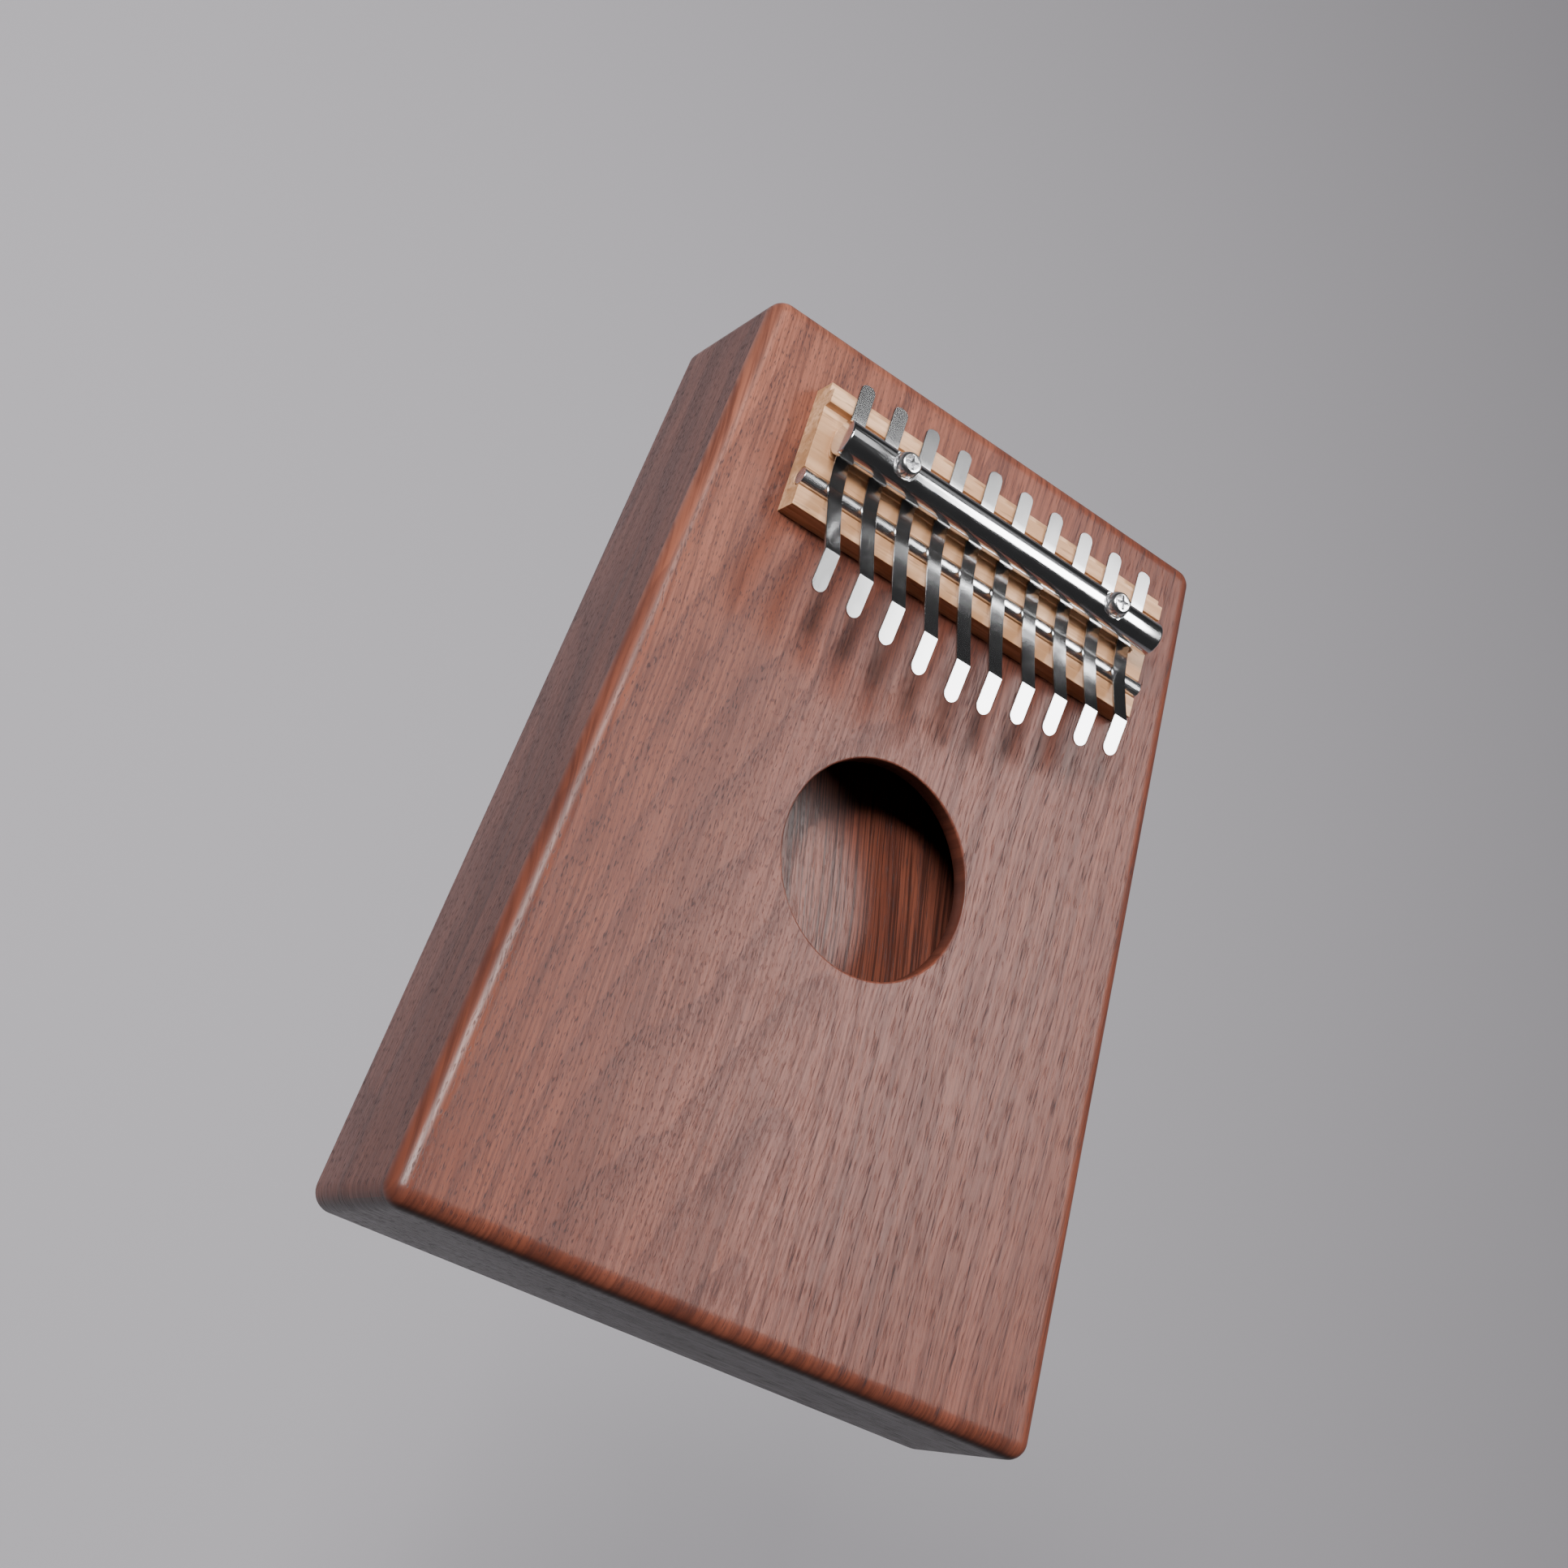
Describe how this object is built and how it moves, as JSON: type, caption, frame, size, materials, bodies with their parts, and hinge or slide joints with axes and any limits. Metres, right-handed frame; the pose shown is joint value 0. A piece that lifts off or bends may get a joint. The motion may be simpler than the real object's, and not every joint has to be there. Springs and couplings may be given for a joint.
{
  "type": "box mbira",
  "caption": "Hollow wedge-plan walnut box with a round sound hole, a light wood bridge and a row of steel tines held by a round clamp bar.",
  "frame": {"origin": "centre of the back's lower face", "axes": "+X across the keys to the right, +Y from the wide thumb end to the narrow clamp end, +Z out of the soundboard"},
  "size_m": [0.1094, 0.1498, 0.0388],
  "materials": {
    "soundboard": "satin, open pores along the keys",
    "back_board": "satin, open pores along the keys",
    "left_rail": "satin, open pores along the keys",
    "right_rail": "satin, open pores along the keys",
    "head_rail": "satin, open pores along the keys",
    "tail_rail": "satin, open pores along the keys",
    "bridge_brace": "satin, fine grain across the box",
    "bridge_board": "satin, fine grain across the box",
    "front_rod": "polished",
    "clamp_bar": "polished",
    "clamp_screw_left": "polished",
    "clamp_screw_right": "polished",
    "tine_01_root": "polished spring steel",
    "tine_01_tongue": "polished spring steel",
    "tine_02_root": "polished spring steel",
    "tine_02_tongue": "polished spring steel",
    "tine_03_root": "polished spring steel",
    "tine_03_tongue": "polished spring steel",
    "tine_04_root": "polished spring steel",
    "tine_04_tongue": "polished spring steel",
    "tine_05_root": "polished spring steel",
    "tine_05_tongue": "polished spring steel",
    "tine_06_root": "polished spring steel",
    "tine_06_tongue": "polished spring steel",
    "tine_07_root": "polished spring steel",
    "tine_07_tongue": "polished spring steel",
    "tine_08_root": "polished spring steel",
    "tine_08_tongue": "polished spring steel",
    "tine_09_root": "polished spring steel",
    "tine_09_tongue": "polished spring steel",
    "tine_10_root": "polished spring steel",
    "tine_10_tongue": "polished spring steel"
  },
  "bodies": {
    "resonator": {"soundboard": "soundboard", "back_board": "back_board", "left_rail": "left_rail", "right_rail": "right_rail", "head_rail": "head_rail", "tail_rail": "tail_rail", "bridge_brace": "bridge_brace", "bridge_board": "bridge_board", "front_rod": "front_rod", "clamp_bar": "clamp_bar"},
    "clamp_screw_left": {"clamp_screw_left": "clamp_screw_left"},
    "clamp_screw_right": {"clamp_screw_right": "clamp_screw_right"},
    "tine_01": {"tine_01_root": "tine_01_root"},
    "tine_01_free": {"tine_01_tongue": "tine_01_tongue"},
    "tine_02": {"tine_02_root": "tine_02_root"},
    "tine_02_free": {"tine_02_tongue": "tine_02_tongue"},
    "tine_03": {"tine_03_root": "tine_03_root"},
    "tine_03_free": {"tine_03_tongue": "tine_03_tongue"},
    "tine_04": {"tine_04_root": "tine_04_root"},
    "tine_04_free": {"tine_04_tongue": "tine_04_tongue"},
    "tine_05": {"tine_05_root": "tine_05_root"},
    "tine_05_free": {"tine_05_tongue": "tine_05_tongue"},
    "tine_06": {"tine_06_root": "tine_06_root"},
    "tine_06_free": {"tine_06_tongue": "tine_06_tongue"},
    "tine_07": {"tine_07_root": "tine_07_root"},
    "tine_07_free": {"tine_07_tongue": "tine_07_tongue"},
    "tine_08": {"tine_08_root": "tine_08_root"},
    "tine_08_free": {"tine_08_tongue": "tine_08_tongue"},
    "tine_09": {"tine_09_root": "tine_09_root"},
    "tine_09_free": {"tine_09_tongue": "tine_09_tongue"},
    "tine_10": {"tine_10_root": "tine_10_root"},
    "tine_10_free": {"tine_10_tongue": "tine_10_tongue"}
  },
  "joints": [
    {"name": "clamp_screw_left_turn", "type": "hinge", "parent": "resonator", "child": "clamp_screw_left", "pos_m": [-0.02111, 0.0532, 0.03675], "axis": [0, 0, 1], "continuous": true},
    {"name": "clamp_screw_right_turn", "type": "hinge", "parent": "resonator", "child": "clamp_screw_right", "pos_m": [0.02275, 0.0532, 0.03675], "axis": [0, 0, 1], "continuous": true},
    {"name": "tine_01_tune", "type": "slide", "parent": "resonator", "child": "tine_01", "axis": [0, 1, 0], "range_m": [-0.0005, 0.0005]},
    {"name": "tine_01_pluck", "type": "hinge", "parent": "tine_01", "child": "tine_01_free", "pos_m": [-0.02865, 0.04605, 0.03202], "axis": [1, 0, 0], "range_deg": [-4, 6], "stiffness_Nm_per_rad": 0.3},
    {"name": "tine_02_tune", "type": "slide", "parent": "resonator", "child": "tine_02", "axis": [0, 1, 0], "range_m": [-0.0005, 0.0005]},
    {"name": "tine_02_pluck", "type": "hinge", "parent": "tine_02", "child": "tine_02_free", "pos_m": [-0.0221, 0.04605, 0.03202], "axis": [1, 0, 0], "range_deg": [-4, 6], "stiffness_Nm_per_rad": 0.3},
    {"name": "tine_03_tune", "type": "slide", "parent": "resonator", "child": "tine_03", "axis": [0, 1, 0], "range_m": [-0.0005, 0.0005]},
    {"name": "tine_03_pluck", "type": "hinge", "parent": "tine_03", "child": "tine_03_free", "pos_m": [-0.01555, 0.04605, 0.03202], "axis": [1, 0, 0], "range_deg": [-4, 6], "stiffness_Nm_per_rad": 0.3},
    {"name": "tine_04_tune", "type": "slide", "parent": "resonator", "child": "tine_04", "axis": [0, 1, 0], "range_m": [-0.0005, 0.0005]},
    {"name": "tine_04_pluck", "type": "hinge", "parent": "tine_04", "child": "tine_04_free", "pos_m": [-0.00901, 0.04605, 0.03202], "axis": [1, 0, 0], "range_deg": [-4, 6], "stiffness_Nm_per_rad": 0.3},
    {"name": "tine_05_tune", "type": "slide", "parent": "resonator", "child": "tine_05", "axis": [0, 1, 0], "range_m": [-0.0005, 0.0005]},
    {"name": "tine_05_pluck", "type": "hinge", "parent": "tine_05", "child": "tine_05_free", "pos_m": [-0.00246, 0.04605, 0.03202], "axis": [1, 0, 0], "range_deg": [-4, 6], "stiffness_Nm_per_rad": 0.3},
    {"name": "tine_06_tune", "type": "slide", "parent": "resonator", "child": "tine_06", "axis": [0, 1, 0], "range_m": [-0.0005, 0.0005]},
    {"name": "tine_06_pluck", "type": "hinge", "parent": "tine_06", "child": "tine_06_free", "pos_m": [0.00409, 0.04605, 0.03202], "axis": [1, 0, 0], "range_deg": [-4, 6], "stiffness_Nm_per_rad": 0.3},
    {"name": "tine_07_tune", "type": "slide", "parent": "resonator", "child": "tine_07", "axis": [0, 1, 0], "range_m": [-0.0005, 0.0005]},
    {"name": "tine_07_pluck", "type": "hinge", "parent": "tine_07", "child": "tine_07_free", "pos_m": [0.01064, 0.04605, 0.03202], "axis": [1, 0, 0], "range_deg": [-4, 6], "stiffness_Nm_per_rad": 0.3},
    {"name": "tine_08_tune", "type": "slide", "parent": "resonator", "child": "tine_08", "axis": [0, 1, 0], "range_m": [-0.0005, 0.0005]},
    {"name": "tine_08_pluck", "type": "hinge", "parent": "tine_08", "child": "tine_08_free", "pos_m": [0.01719, 0.04605, 0.03202], "axis": [1, 0, 0], "range_deg": [-4, 6], "stiffness_Nm_per_rad": 0.3},
    {"name": "tine_09_tune", "type": "slide", "parent": "resonator", "child": "tine_09", "axis": [0, 1, 0], "range_m": [-0.0005, 0.0005]},
    {"name": "tine_09_pluck", "type": "hinge", "parent": "tine_09", "child": "tine_09_free", "pos_m": [0.02374, 0.04605, 0.03202], "axis": [1, 0, 0], "range_deg": [-4, 6], "stiffness_Nm_per_rad": 0.3},
    {"name": "tine_10_tune", "type": "slide", "parent": "resonator", "child": "tine_10", "axis": [0, 1, 0], "range_m": [-0.0005, 0.0005]},
    {"name": "tine_10_pluck", "type": "hinge", "parent": "tine_10", "child": "tine_10_free", "pos_m": [0.03029, 0.04605, 0.03202], "axis": [1, 0, 0], "range_deg": [-4, 6], "stiffness_Nm_per_rad": 0.3}
  ]
}
